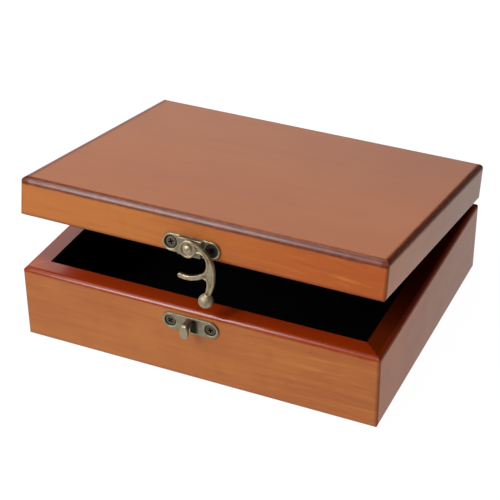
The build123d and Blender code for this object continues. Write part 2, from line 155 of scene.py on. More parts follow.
def surface_nets(field, lo, hi, h):
    """Quads on the zero level of field(X, Y, Z) between lo and hi, cell h. Returns points, faces, cavity, edge."""
    n = [int(math.ceil((hi[i] - lo[i]) / h)) + 1 for i in range(3)]
    axes = [lo[i] + h * np.arange(n[i]) for i in range(3)]
    X, Y, Z = np.meshgrid(*axes, indexing="ij")
    F = field(X, Y, Z).astype(np.float64)
    del X, Y, Z
    c = [k - 1 for k in n]
    total = np.zeros((*c, 3))
    count = np.zeros(c)
    for a, b in EDGE_PAIRS:
        fa = F[a[0] : a[0] + c[0], a[1] : a[1] + c[1], a[2] : a[2] + c[2]]
        fb = F[b[0] : b[0] + c[0], b[1] : b[1] + c[1], b[2] : b[2] + c[2]]
        cut = (fa < 0) != (fb < 0)
        t = np.where(cut, fa / np.where(cut, fa - fb, 1.0), 0.0)
        for k in range(3):
            total[..., k] += np.where(cut, a[k] + t * (b[k] - a[k]), 0.0)
        count += cut
    live = count > 0
    index = -np.ones(c, np.int64)
    index[live] = np.arange(live.sum())
    cell = np.argwhere(live)
    pts = (cell + total[live] / count[live][:, None]) * h + np.array(lo)
    faces = []
    S = F < 0
    for k in range(3):
        u, v = [(1, 2), (2, 0), (0, 1)][k]
        a = [slice(None)] * 3
        b = [slice(None)] * 3
        a[k], b[k] = slice(0, n[k] - 1), slice(1, n[k])
        for w in (u, v):
            a[w] = b[w] = slice(1, n[w] - 1)
        sa, sb = S[tuple(a)], S[tuple(b)]
        for flip, mask in ((False, sa & ~sb), (True, ~sa & sb)):
            e = np.argwhere(mask)
            if not len(e):
                continue
            e[:, u] += 1
            e[:, v] += 1
            quad = []
            for du, dv in ((-1, -1), (0, -1), (0, 0), (-1, 0)):
                q = e.copy()
                q[:, u] += du
                q[:, v] += dv
                quad.append(index[q[:, 0], q[:, 1], q[:, 2]])
            quad = np.stack(quad, 1)
            faces.append(quad[:, ::-1] if flip else quad)
    faces = np.concatenate(faces)

    def sample(p):
        g = (p - np.array(lo)) / h
        i = np.clip(np.floor(g).astype(int), 0, np.array(n) - 2)
        f = np.clip(g - i, 0.0, 1.0)
        out = np.zeros(len(p))
        for dx in (0, 1):
            for dy in (0, 1):
                for dz in (0, 1):
                    wgt = (
                        np.where(dx, f[:, 0], 1 - f[:, 0])
                        * np.where(dy, f[:, 1], 1 - f[:, 1])
                        * np.where(dz, f[:, 2], 1 - f[:, 2])
                    )
                    out += wgt * F[i[:, 0] + dx, i[:, 1] + dy, i[:, 2] + dz]
        return out

    eps = h * 0.75
    grad = np.stack(
        [sample(pts + eps * np.eye(3)[k]) - sample(pts - eps * np.eye(3)[k]) for k in range(3)], 1
    )
    size = np.linalg.norm(grad, axis=1, keepdims=True)
    normal = grad / np.maximum(size, 1e-9)
    here = sample(pts)
    slope = size[:, 0] / (2 * eps)
    slope = np.maximum(slope, 0.3)
    cavity = np.zeros(len(pts))
    edge = np.zeros(len(pts))
    for reach in (0.35, 0.8):
        cavity += np.clip(1 - (sample(pts + normal * reach) - here) / (reach * slope), 0, 1) * 0.5
        edge += np.clip(1 - (here - sample(pts - normal * reach)) / (reach * slope), 0, 1) * 0.5
    return pts, faces, cavity, edge


def make_mesh(name, batches, matrix, body, replaces=(), matt=None):
    """batches is [(points mm, faces, cavity, edge)] in the plane given by matrix."""
    pts, faces, cav, edg, base = [], [], [], [], 0
    for p, f, c, e in batches:
        pts.append(np.asarray(p, float))
        faces.append(np.asarray(f) + base)
        cav.append(c)
        edg.append(e)
        base += len(p)
    pts, cav, edg = np.concatenate(pts), np.concatenate(cav), np.concatenate(edg)
    faces = np.concatenate(faces)
    m = np.array(matrix)
    world = (pts * MM) @ m[:3, :3].T + m[:3, 3]
    mesh = bpy.data.meshes.new(name)
    mesh.from_pydata(world.tolist(), [], faces.tolist())
    mesh.update()
    for key, values in (("cavity", cav), ("edge", edg)):
        a = mesh.attributes.new(key, "FLOAT", "POINT")
        a.data.foreach_set("value", np.asarray(values, np.float32))
    if matt is not None:
        a = mesh.attributes.new("matt", "FLOAT", "POINT")
        a.data.foreach_set("value", np.asarray(matt, np.float32))
    mesh.shade_smooth()
    obj = bpy.data.objects.new(name, mesh)
    bpy.context.scene.collection.objects.link(obj)
    if replaces:
        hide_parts(*replaces)
    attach(obj, body)
    return obj


# ---------------------------------------------------------------------
# Hook: cast arm with raised borders, prong and ball end
# ---------------------------------------------------------------------
PRONG_IN, PRONG_OUT = 13.9, 16.45
tip = polar((PRONG_IN + PRONG_OUT) / 2, -103.0)
half = (PRONG_OUT - PRONG_IN) / 2
hook_outline = (
    spline([(0.9, 4.6), (5.2, 3.2), (8.7, 1.35), (11.5, -0.9), (13.85, -4.45), (15.2, -8.9),
            (15.6, -12.6), (15.25, -17.0), (13.6, -22.6)])
    + spline([(10.3, -22.6), (11.2, -19.1), (11.4, -16.4), (10.9, -14.6), polar(PRONG_OUT, -57.5)])
    + arc(PRONG_OUT, -60.0, -103.0)
    + [(tip[0] + half * math.cos(math.radians(a)), tip[1] + half * math.sin(math.radians(a)))
       for a in range(-120, -281, -20)]
    + arc(PRONG_IN, -103.0, -60.0)
    + spline([polar(PRONG_IN, -60.0), (9.35, -10.4), (10.35, -8.0), (10.3, -5.2), (8.9, -2.5),
              (6.9, -1.35), (3.6, -1.6)])
)


def hook_field(X, Y, Z):
    x, y = X[:, :, 0], Y[:, :, 0]
    r = np.hypot(x, y)
    d2 = smin(d_polygon(x, y, hook_outline), r - 4.75, 0.9)
    t = -d2
    on_prong = ss(-10.0, -12.0, y) * ss(10.8, 9.4, x)
    groove = 0.42 * ss(0.8, 1.35, t) * ss(4.55, 5.3, r) * (1.0 - on_prong)
    ring = -0.5 * ss(3.75, 3.3, r) + 0.12 * ss(3.4, 3.9, r) * ss(5.0, 4.5, r)
    top = HOOK_THICK - groove + ring + 0.10 * ss(0.25, 0.6, t) * ss(1.2, 0.8, t)
    f = smax(d2[:, :, None], Z - top[:, :, None], 0.75)
    f = smax(f, -Z, 0.35)
    f = np.maximum(f, (1.55 - r)[:, :, None])
    bx, by, bz = BALL_X, BALL_Y, HOOK_THICK / 2
    ball = np.sqrt((X - bx) ** 2 + (Y - by) ** 2 + (Z - bz) ** 2) - BALL_R
    f = smin(f, ball, 0.55)
    # collar where the arm meets the ball
    ux, uy = 0.30, 0.954
    cx, cy = bx + ux * 3.35, by + uy * 3.35
    along = (X - cx) * ux + (Y - cy) * uy
    across = np.sqrt(((X - cx) * uy - (Y - cy) * ux) ** 2 + (Z - bz) ** 2)
    collar = np.hypot(across - 1.45, along) - 0.55
    return smin(f, collar, 0.4)


h = 0.14 * FINE
p, f, c, e = surface_nets(hook_field, (-5.4, -29.7, -3.4), (16.4, 5.6, 5.4), h)
# the ball is rubbed bright where it is handled, and so is the ring round the rivet
to_ball = np.linalg.norm(p - np.array([BALL_X, BALL_Y, HOOK_THICK / 2]), axis=1)
e = np.maximum(e, 0.24 * ss(4.3, 3.9, to_ball) * ss(-1.5, 2.5, p[:, 2]))
e = e * ss(-2.0, 6.0, p[:, 0] + 0.35 * (p[:, 1] + 14.0) + 8.0)
hook_matrix = LID_FRONT @ Matrix.Translation(Vector((CLASP_X, LID_PLATE_Y, HOOK_BACK)) * MM)
hook = make_mesh("swing_hook", [(p, f, c, e)], hook_matrix, "hook", ["latch_hook"],
                 ss(4.8, 4.0, to_ball))


# ---------------------------------------------------------------------
# Latch plate on the lid: dished ends, raised middle
# ---------------------------------------------------------------------
def obround(x, y, half_long, r):
    return np.hypot(np.maximum(np.abs(x) - (half_long - r), 0.0), y) - r


def dish(x, y, cx, r_out, r_in):
    """1 inside the dish, 0 outside, a straight slope between."""
    r = np.hypot(np.abs(x) - cx, y)
    return np.clip((r_out - r) / (r_out - r_in), 0.0, 1.0)


def latch_field(X, Y, Z):
    x, y = X[:, :, 0], Y[:, :, 0]
    d2 = obround(x, y, 15.8, 4.9)
    r = np.hypot(np.abs(x) - SCREW_DX, y)
    top = 1.12 + 0.16 * ss(3.7, 4.1, r) * ss(0.15, 0.5, -d2)
    top = top - 0.92 * dish(x, y, SCREW_DX, 3.85, 3.0)
    f = smax(d2[:, :, None], Z - top[:, :, None], 0.45)
    # raised middle, a little narrower at its face
    bx = np.abs(x) - 6.5
    by = np.abs(y) - 4.75
    block2 = np.hypot(np.maximum(bx, 0), np.maximum(by, 0)) + np.minimum(np.maximum(bx, by), 0)
    block = smax((block2[:, :, None] + 0.06 * Z), Z - 3.2, 0.5)
    f = smin(f, block, 0.22)
    f = np.maximum(f, -Z)
    hole = np.minimum(np.hypot(x, y) - 1.5, r - 1.6)
    return np.maximum(f, -hole[:, :, None])


h = 0.15 * FINE
p, f, c, e = surface_nets(latch_field, (-16.3, -5.4, -0.4), (16.3, 5.4, 3.8), h)
c = np.maximum(c, 0.85 * ss(0.05, 0.5, dish(p[:, 0], p[:, 1], SCREW_DX, 3.85, 3.0)))
latch_matrix = LID_FRONT @ Matrix.Translation(Vector((CLASP_X, LID_PLATE_Y, 0)) * MM)
latch = make_mesh("latch_plate_cast", [(p, f, c, e)], latch_matrix, "lid", ["latch_plate"])

# ---------------------------------------------------------------------
# Catch on the base: plate and turned-down claw with an oval face
# ---------------------------------------------------------------------
claw_section = (
    [(-0.2, -4.1), (0.4, -4.1)]
    + spline([(6.6, -4.3), (7.75, -4.62), (8.3, -5.5), (8.5, -7.2), (8.5, -9.6), (8.3, -11.6)])
    + [(8.05, -12.35), (7.5, -12.72), (6.95, -12.6), (6.65, -12.0), (6.5, -7.6), (6.35, -7.2),
       (5.9, -7.0), (-0.2, -7.0)]
)


def beside_claw(x, py, low=-3.7):
    return ss(-0.4, 0.5, x) * ss(6.4, 1.5, x) * ss(low - 0.8, low, py) * ss(3.8, 2.8, py)


def strike_field(X, Y, Z):
    # Y is measured from the base's upper edge, X from the middle of the plate
    x, y = X[:, :, 0], Y[:, :, 0]
    py = y - STRIKE_Y
    d2 = obround(x, py, 15.8, 4.9)
    r = np.hypot(np.abs(x) - SCREW_DX, py)
    top = 1.10 + 0.06 * ss(3.5, 3.9, r) * ss(0.2, 0.6, -d2)
    top = top - 0.90 * dish(x, py, SCREW_DX, 3.45, 2.85)
    # hollow pressed in beside the claw, running out to the right
    top = top - 0.80 * beside_claw(x, py)
    f = smax(d2[:, :, None], Z - top[:, :, None], 0.42)
    # claw: side section in (Z, Y), front outline in (X, Y)
    side = d_polygon(Z[0], Y[0], claw_section)[None, :, :]
    neck = np.maximum(np.abs(x) - 1.25, np.abs(y + 5.6) - 1.6)
    oval = (np.hypot(x / 2.3, (y + 8.6) / 4.3) - 1.0) * 2.3
    front = smin(neck, oval, 0.3)
    claw = smax(np.broadcast_to(side, X.shape), front[:, :, None], 0.34)
    f = smin(f, claw, 0.25)
    f = np.maximum(f, -Z)
    return np.maximum(f, -(r - 1.6)[:, :, None])


p, f, c, e = surface_nets(strike_field, (-16.3, -14.0, -0.4), (16.3, -3.0, 9.1), h)
on_plate = ss(1.9, 1.3, p[:, 2])
py = p[:, 1] - STRIKE_Y
c = np.maximum(c, 0.85 * ss(0.05, 0.5, dish(p[:, 0], py, SCREW_DX, 3.45, 2.85)) * on_plate)
# painted shadow of the claw: a dark patch laid into the cavity attribute to the right of the claw, fading out
# rightwards, with the rubbed brightness taken off under it
shade = ss(-0.4, 0.5, p[:, 0]) * ss(7.4, 0.8, p[:, 0]) * ss(-4.9, -3.5, py) * ss(4.4, 3.0, py) * on_plate
c, e = np.maximum(c, 0.78 * shade), e * (1.0 - shade)
# painted light on the claw: its neck loses most of its dark and is made brighter, standing in for light it would
# reflect, with a little painted shade kept down its left side; the tab's face is made brighter too
on_neck = ss(1.0, 1.5, p[:, 2]) * ss(7.2, 5.6, p[:, 2])
c = np.maximum(c * (1.0 - 0.85 * on_neck), 0.20 * on_neck * ss(0.9, 1.15, -p[:, 0]))
e = np.maximum(np.maximum(e * (1.0 - 0.6 * on_neck), 0.26 * on_neck), 0.30 * ss(6.0, 7.0, p[:, 2]))
strike_matrix = BASE_FRONT @ Matrix.Translation(Vector((CLASP_X, 0, 0)) * MM)
strike = make_mesh("catch_plate_cast", [(p, f, c, e)], strike_matrix, "base", ["strike_plate"])


# ---------------------------------------------------------------------
# Rivet: turned stem and a domed head
# ---------------------------------------------------------------------
def rivet_field(X, Y, Z):
    r = np.hypot(X, Y)
    stem = np.maximum(np.maximum(r - 1.5, 0.2 - Z), Z - 5.6)
    base_z = HOOK_BACK + HOOK_THICK - 0.30
    R = (2.2**2 + 1.2**2) / (2 * 1.2)
    dome = np.maximum(np.sqrt(r * r + (Z - (base_z + 0.37 + 1.2 - R)) ** 2) - R, base_z - Z + 0.12)
    dome = smax(dome, r - 2.2, 0.25)
    return smin(stem, dome, 0.1)


p, f, c, e = surface_nets(rivet_field, (-3.0, -3.0, -0.1), (3.0, 3.0, 7.2), 0.12 * FINE)
e = np.maximum(e, 0.20 * ss(5.3, 5.7, p[:, 2]))
rivet = make_mesh("clasp_rivet", [(p, f, c, e)], latch_matrix, "lid", ["latch_rivet"])


# ---------------------------------------------------------------------
# Countersunk wood screws with a cross recess and a cut thread
# ---------------------------------------------------------------------
def screw_field(head_r, stem_r, length, arm, width, turn):
    def field(X, Y, Z):
        r = np.hypot(X, Y)
        deep = head_r - stem_r
        dome = 0.10 * head_r * (1 - (r / head_r) ** 2)
        head = smax(np.maximum(r - head_r - np.minimum(Z, 0.0), -Z - deep - 0.3), Z - dome, 0.12)
        # thread on the lower two thirds, tapering to a blunt point
        pitch = stem_r * 1.05
        phase = (Z / pitch + np.arctan2(Y, X) / (2 * np.pi)) % 1.0
        ridge = np.abs(phase - 0.5) * 2.0
        start = ss(-deep - 0.6, -deep - 2.0, Z)
        taper = ss(-length + 0.1, -length + 2.4, Z)
        radius = stem_r * (1 - 0.26 * start * (1 - ridge**2)) * (0.30 + 0.70 * taper)
        stem = np.maximum(np.maximum((r - radius) * 0.8, -length - Z), Z + 0.2)
        f = smin(head, stem, 0.1)
        cx = X * math.cos(turn) + Y * math.sin(turn)
        cy = -X * math.sin(turn) + Y * math.cos(turn)
        shrink = 0.35 * np.clip(-Z / head_r, 0, 1) * head_r
        slot_a = np.maximum(np.abs(cx) - arm + shrink, np.abs(cy) - width + 0.15 * shrink)
        slot_b = np.maximum(np.abs(cy) - arm + shrink, np.abs(cx) - width + 0.15 * shrink)
        centre = (np.abs(cx) + np.abs(cy)) * 0.7071 - width * 1.25 + 0.2 * shrink
        cross = np.maximum(np.minimum(np.minimum(slot_a, slot_b), centre), -Z - head_r * 0.42)
        return smax(f, -cross, 0.06)

    return field


def screws(name, matrix, spots, size, turns, body, node, tarnish_and_shade=(0.0, 0.0, 0.0, 0.0)):
    head_r, stem_r, length, arm, width, step = size
    batches = []
    for (sx, sy, sz), turn, dull in zip(spots, turns, tarnish_and_shade):
        p, f, c, e = surface_nets(
            screw_field(head_r, stem_r, length, arm, width, turn),
            (-head_r - 0.4, -head_r - 0.4, -length - 0.4),
            (head_r + 0.4, head_r + 0.4, head_r * 0.10 + 0.4),
            step * FINE,
        )
        # dull darkens a whole screw and takes off its rubbed brightness: tarnish, and painted shade where a screw lies
        # in shade
        batches.append((p + np.array([sx, sy, sz]), f, np.maximum(c, dull), e * (1.0 - dull)))
    return make_mesh(name, batches, matrix, body, [node])


clasp_size = (2.75, 1.45, 8.5, 1.75, 0.40, 0.13)
# the lid plate's right screw is painted darker for the shadow the hook casts over it
latch_screws = screws(
    "latch_screw_pair", LID_FRONT,
    [(CLASP_X - SCREW_DX, LID_PLATE_Y, 0.42), (CLASP_X + SCREW_DX, LID_PLATE_Y, 0.30)],
    clasp_size, (0.35, 1.05), "lid", "latch_plate_screws", (0.0, 0.45),
)
strike_screws = screws(
    "catch_screw_pair", BASE_FRONT,
    [(CLASP_X - SCREW_DX, STRIKE_Y, 0.45), (CLASP_X + SCREW_DX, STRIKE_Y, 0.45)],
    clasp_size, (0.75, 0.2), "base", "strike_plate_screws", (0.10, 0.20),
)
hinge_size = (1.9, 0.9, 9.0, 1.2, 0.27, 0.10)
hinge_spots = [(hx + dx) for hx in (-62.0, 62.0) for dx in (-7.5, 7.5)]
base_hinge_screws = screws(
    "base_hinge_screw_set", BASE_RIM,
    [(x, HINGE_Y - 7.0, 0.7 - 0.19) for x in hinge_spots],
    hinge_size, (0.2, 0.9, 1.3, 0.5), "base", "base_hinge_screws",
)
lid_hinge_screws = screws(
    "lid_hinge_screw_set", LID_RIM,
    [(x, 7.0, 0.7 - 0.19) for x in hinge_spots],
    hinge_size, (1.1, 0.4, 0.7, 0.1), "lid", "lid_hinge_screws",
)


# =====================================================================
# Materials
# =====================================================================
def lin(r, g, b):
    def one(v):
        v /= 255.0
        return v / 12.92 if v <= 0.04045 else ((v + 0.055) / 1.055) ** 2.4

    return (one(r), one(g), one(b), 1.0)


class Tree:
    """Small helper to write a material's nodes one line each."""

    def __init__(self, name):
        self.mat = bpy.data.materials.new(name)
        self.mat.use_nodes = True
        self.t = self.mat.node_tree
        self.t.nodes.clear()

    def node(self, kind, inputs=None, **props):
        n = self.t.nodes.new(kind)
        for k, v in props.items():
            setattr(n, k, v)
        for k, v in (inputs or {}).items():
            if isinstance(v, bpy.types.NodeSocket):
                self.t.links.new(v, n.inputs[k])
            else:
                n.inputs[k].default_value = v
        return n

    def math(self, op, a, b=0.0, clamp=False):
        return self.node("ShaderNodeMath", {0: a, 1: b}, operation=op, use_clamp=clamp).outputs[0]

    def step(self, value, lo, hi, a=0.0, b=1.0):
        return self.node(
            "ShaderNodeMapRange",
            {"Value": value, "From Min": lo, "From Max": hi, "To Min": a, "To Max": b},
            interpolation_type="SMOOTHSTEP",
        ).outputs[0]

    def mix(self, fac, a, b, blend="MIX"):
        n = self.node("ShaderNodeMix", {0: fac, 6: a, 7: b}, data_type="RGBA", blend_type=blend)
        return n.outputs[2]

    def noise(self, vec, scale, detail=3.0, rough=0.5, lac=2.0, distortion=0.0):
        return self.node(
            "ShaderNodeTexNoise",
            {"Vector": vec, "Scale": scale, "Detail": detail, "Roughness": rough,
             "Lacunarity": lac, "Distortion": distortion},
        ).outputs["Fac"]

    def stretch(self, vec, sx, sy, sz, offset=(0, 0, 0)):
        return self.node(
            "ShaderNodeMapping",
            {"Vector": vec, "Scale": (sx, sy, sz), "Location": offset},
            vector_type="POINT",
        ).outputs[0]

    def attr(self, name):
        return self.node("ShaderNodeAttribute", attribute_name=name, attribute_type="GEOMETRY").outputs["Fac"]

    def finish(self, shader_inputs, bumps=()):
        normal = None
        for height, strength, distance in bumps:
            ins = {"Height": height, "Strength": strength, "Distance": distance}
            if normal is not None:
                ins["Normal"] = normal
            normal = self.node("ShaderNodeBump", ins).outputs[0]
        p = self.node("ShaderNodeBsdfPrincipled", shader_inputs)
        if normal is not None:
            self.t.links.new(normal, p.inputs["Normal"])
        out = self.node("ShaderNodeOutputMaterial", {"Surface": p.outputs[0]})
        return self.mat


# stain colours: the flat faces, yellower and redder streaks, the dark stain that gathers
# on the lid's rounded edges, and the base's rim, whose red is its stain darkened with painted shade from the lid above
# it
WOOD_FACE = (0.400, 0.108, 0.0100)
WOOD_WARM = (0.445, 0.137, 0.0150)
WOOD_RED = (0.350, 0.080, 0.0070)
WOOD_DARK = (0.290, 0.070, 0.0060)
WOOD_PALE = (0.500, 0.160, 0.0220)
WOOD_EDGE = lin(92, 36, 22)
WOOD_RIM_STAIN_AND_SHADE = lin(145, 39, 5)
WOOD_RIM_EDGE = lin(140, 46, 18)
WOOD_RIM_CORNER_LIT = (0.36, 0.055, 0.006, 1.0)


def wood(name, grain, of_lid, seed, tone_and_shade=1.0, rim_stain_and_shade=0.9, warm_and_lit_left=0.0, figure=1.0, rim_colour_and_shade=None,
         gloss=0.5, gloss_right=None, streaks=0.0, satin=(0.284, 0.330), ior=1.46,
         painted_shade_back=0.0, grit=1.0, painted_falloff=None, crisp=0.0, edge_shine=None,
         edge_band_down=(-0.0045, -0.0033)):
    """Stained, satin-varnished wood. grain is the axis the fibres run along; in the lid the
    pattern is laid out with the lid turned back to level. The warm side setting makes the board yellower
    and lighter towards -X and redder and darker towards +X, partly its own colour and partly painted light.
    The per-wall tone, rim colour, back shade and front-to-back scaling paint light and shade into the colour."""
    k = Tree(name)
    place = k.node("ShaderNodeTexCoord").outputs["Object"]
    if of_lid:
        hy, hz = HINGE_Y * MM, HINGE_Z * MM
        place = k.node(
            "ShaderNodeMapping",
            {
                "Vector": place,
                "Location": (0.0, hy - (hy * CA - hz * SA), hz - (hy * SA + hz * CA)),
                "Rotation": (AJAR, 0.0, 0.0),
            },
            vector_type="POINT",
        ).outputs[0]
    parts = k.node("ShaderNodeSeparateXYZ", {0: place}).outputs
    x, y, z = parts[0], parts[1], parts[2]
    shift = (seed * 1.7, seed * 2.3, seed * 0.9)
    # distances from the outer faces, a little unsteady so that the stain's border wanders
    waver = k.noise(k.stretch(place, 1, 1, 1, shift), 150.0, 3.0, 0.6)
    waver = k.math("MULTIPLY", k.math("SUBTRACT", waver, 0.5), 0.0011)
    ax, ay = k.math("ABSOLUTE", x), k.math("ABSOLUTE", y)
    out_by = k.math("MAXIMUM", k.math("SUBTRACT", ax, HALF_W * MM), k.math("SUBTRACT", ay, HALF_D * MM))
    top_z, low_z = (LID_TOP, LID_LOW) if of_lid else (BASE_H, 0.0)
    up_by = k.math("SUBTRACT", z, top_z * MM)
    down_by = k.math("SUBTRACT", low_z * MM, z)
    out_by_w, up_by_w = k.math("ADD", out_by, waver), k.math("ADD", up_by, waver)

    # slow wander of the fibres
    wander = k.noise(k.stretch(place, 1, 1, 1, (seed * 0.37, seed * 0.11, 0.0)), 9.0, 2.0, 0.45)
    bend = k.math("MULTIPLY", k.math("SUBTRACT", wander, 0.5), 0.012)
    if grain == "x":
        bent = k.node("ShaderNodeCombineXYZ", {0: x, 1: k.math("ADD", y, bend), 2: k.math("ADD", z, bend)}).outputs[0]
        long_axis = (1.0, 16.0, 16.0)
        fine_axis = (1.0, 40.0, 40.0)
    else:
        bent = k.node("ShaderNodeCombineXYZ", {0: k.math("ADD", x, bend), 1: y, 2: k.math("ADD", z, bend)}).outputs[0]
        long_axis = (16.0, 1.0, 16.0)
        fine_axis = (40.0, 1.0, 40.0)
    bands = k.noise(k.stretch(bent, *long_axis, shift), 9.0, 4.0, 0.55)
    fibres = k.noise(k.stretch(bent, *fine_axis, shift), 12.0, 3.0, 0.55)
    clouds = k.noise(k.stretch(place, 1, 1, 1, shift), 26.0, 3.0, 0.5)
    patches = k.noise(k.stretch(place, 1, 1, 1.6, shift[::-1]), 75.0, 3.0, 0.6)

    def rgba(c):
        return (c[0], c[1], c[2], 1.0)

    colour = k.mix(k.step(bands, 0.30, 0.70, 0.0, 0.80 * figure), rgba(WOOD_FACE), rgba(WOOD_RED))
    colour = k.mix(k.step(fibres, 0.40, 0.75, 0.0, 0.24 * figure), colour, rgba(WOOD_WARM))
    colour = k.mix(k.step(clouds, 0.35, 0.70, 0.0, 0.70 * figure), colour, rgba(WOOD_WARM))
    # yellower and lighter towards the left, redder and darker towards the right: partly the board's own colour, partly
    # painted light falling off towards the right
    if warm_and_lit_left:
        colour = k.mix(k.step(x, 0.07, -0.06, 0.0, warm_and_lit_left), colour, (0.465, 0.138, 0.0150, 1.0))
        colour = k.mix(k.step(x, -0.03, 0.09, 0.0, warm_and_lit_left), colour, (0.395, 0.070, 0.0050, 1.0))
    colour = k.mix(k.step(patches, 0.52, 0.80, 0.0, 0.12 * grit), colour, rgba(WOOD_RED))
    if streaks:
        # darker and paler figure along the fibres, stronger towards the right-hand end
        along = k.noise(k.stretch(bent, 1.0, 22.0, 22.0, shift[::-1]), 20.0, 4.0, 0.62)
        more = k.step(x, -0.02, 0.09, 0.45 * streaks, streaks)
        colour = k.mix(k.math("MULTIPLY", k.step(along, 0.50, 0.72), more), colour, rgba(WOOD_DARK))
        colour = k.mix(k.math("MULTIPLY", k.step(along, 0.46, 0.28), more), colour, rgba(WOOD_PALE))
        blots = k.noise(k.stretch(place, 1.0, 1.0, 1.0, shift), 95.0, 3.0, 0.6)
        colour = k.mix(k.step(blots, 0.50, 0.78, 0.0, 0.35), colour, rgba(WOOD_DARK))

    # painted shade: the top is darkened towards its back right corner, where less light reaches it
    if painted_shade_back:
        far = k.math("MULTIPLY", k.step(y, -0.02, 0.08), k.step(x, -0.04, 0.09))
        colour = k.mix(k.math("MULTIPLY", far, painted_shade_back), colour, rgba(WOOD_DARK))

    # painted light and shade: the colour is scaled from the front edge to the back edge, lighter at the front and
    # darker at the back
    if painted_falloff:
        colour = k.mix(1.0, colour, k.step(y, -0.075, 0.075, *painted_falloff), "MULTIPLY")

    # the stain gathers on the rounded edges and wears a little unevenly there
    uneven = k.noise(k.stretch(place, 1, 1, 1, shift), 240.0, 3.0, 0.6)
    reach_side = k.step(out_by_w, -0.0032, -0.0019)
    reach_top = k.step(up_by_w, *edge_band_down) if of_lid else k.step(up_by_w, -0.0031, -0.0019)
    reach_low = k.step(down_by, -0.0030, -0.0006)
    on_top = k.math("MULTIPLY", reach_side, reach_top)
    on_low = k.math("MULTIPLY", reach_side, reach_low)
    upright = k.math(
        "MULTIPLY",
        k.step(k.math("SUBTRACT", ax, HALF_W * MM), -0.0022, 0.0),
        k.step(k.math("SUBTRACT", ay, HALF_D * MM), -0.0022, 0.0),
    )
    wear = k.step(uneven, 0.20, 0.60, 0.66, 1.0)
    top_stain = k.math("MULTIPLY", k.math("MULTIPLY", on_top, wear), 0.95, clamp=True)
    low_stain = k.math("MAXIMUM", k.math("MULTIPLY", on_low, 0.5), k.math("MULTIPLY", upright, k.step(x, 0.0, -0.05, 0.4, 0.8)))
    if of_lid:
        # the lid's lower rim takes the same red: stain darkened with painted shade
        rim = k.math("MULTIPLY", k.step(down_by, -0.0010, -0.0002), 0.8)
        colour = k.mix(rim, colour, WOOD_RIM_STAIN_AND_SHADE)
        colour = k.mix(low_stain, colour, WOOD_EDGE)
        colour = k.mix(top_stain, colour, WOOD_EDGE)
        # the stain runs a little further onto the top along the left and back edges
        run_on = k.math("MAXIMUM", k.step(x, -0.0942, -0.0966, 0.0, 0.62), k.step(y, 0.0750, 0.0772, 0.0, 0.34))
        run_on = k.math("MULTIPLY", run_on, reach_top)
        colour = k.mix(run_on, colour, WOOD_EDGE)
    else:
        colour = k.mix(low_stain, colour, WOOD_EDGE)
        # the rim's deep red is its stain darkened with painted shade from the lid above; each wall's rim is given its
        # own darkness, the right one painted nearly black
        rim = k.math("MULTIPLY", k.step(up_by, -0.0014, -0.0002), rim_stain_and_shade)
        # painted light: the rim is paler at its front left corner, where the lid shades it less and it catches a sheen
        lit_corner = k.math("MULTIPLY", k.step(x, -0.080, -0.092), k.step(y, -0.064, -0.074))
        colour = k.mix(rim, colour, k.mix(lit_corner, rgba(rim_colour_and_shade or WOOD_RIM_STAIN_AND_SHADE), WOOD_RIM_CORNER_LIT))
        lip = k.math("MULTIPLY", top_stain, k.step(out_by, -0.0030, -0.0016, 0.15, 1.0))
        colour = k.mix(k.math("MULTIPLY", lip, rim_stain_and_shade), colour, WOOD_RIM_EDGE)
    # painted light and shade: each wall's colour is scaled by its own factor, which sets how light or dark that face
    # looks as well as its stain
    if tone_and_shade != 1.0:
        if not isinstance(tone_and_shade, tuple):
            tone_and_shade = (tone_and_shade, tone_and_shade, tone_and_shade)
        colour = k.mix(1.0, colour, tone_and_shade + (1.0,), "MULTIPLY")

    rough = k.step(k.math("ADD", k.math("MULTIPLY", fibres, 0.15), k.math("MULTIPLY", patches, 0.85)), 0.2, 0.8, *satin)
    shine = k.step(x, -0.08, 0.09, gloss, gloss_right or gloss)
    # no varnish is left to shine on the worn lower edges
    shine = k.math("MULTIPLY", shine, k.math("SUBTRACT", 1.0, k.math("MULTIPLY", on_low, 0.6)))
    if crisp:
        rough = k.math("MULTIPLY", rough, k.math("SUBTRACT", 1.0, k.math("MULTIPLY", on_top, crisp)))
    if edge_shine:
        # the varnish on the rounded upper edge, from its left end over the middle to its right end
        left, middle, right_end = edge_shine
        along_edge = k.math("MULTIPLY", k.step(x, -0.092, -0.070, left, middle),
                            k.step(x, 0.015, 0.070, 1.0, right_end / middle))
        change = k.math("MULTIPLY", on_top, k.math("SUBTRACT", along_edge, 1.0))
        shine = k.math("MULTIPLY", shine, k.math("ADD", 1.0, change))
    # rubbed dull along the left and back edges, on the lid along the right one too, and down
    # the upright corners at the left
    dull = k.math("MAXIMUM", k.step(x, -0.0955, -0.0975, 0.0, 0.80), k.step(y, 0.0755, 0.0775, 0.0, 0.80))
    if of_lid:
        dull = k.math("MAXIMUM", dull, k.step(x, 0.0950, 0.0972, 0.0, 0.75))
    dull = k.math("MAXIMUM", k.math("MULTIPLY", on_top, dull), k.math("MULTIPLY", upright, k.step(x, 0.0, -0.05, 0.0, 0.8)))
    if of_lid:
        dull = k.math("MAXIMUM", dull, run_on)
    shine = k.math("MULTIPLY", shine, k.math("SUBTRACT", 1.0, dull))
    peel = k.noise(k.stretch(place, 1, 1, 1), 420.0, 2.0, 0.5)
    wave = k.noise(k.stretch(place, 1, 1, 1, shift), 70.0, 2.0, 0.5)
    return k.finish(
        {
            "Base Color": colour,
            "Roughness": rough,
            "IOR": ior,
            "Specular IOR Level": shine,
        },
        [(fibres, 0.02, 0.00002), (peel, 0.18 * grit, 0.00004), (wave, 0.20, 0.00014)],
    )


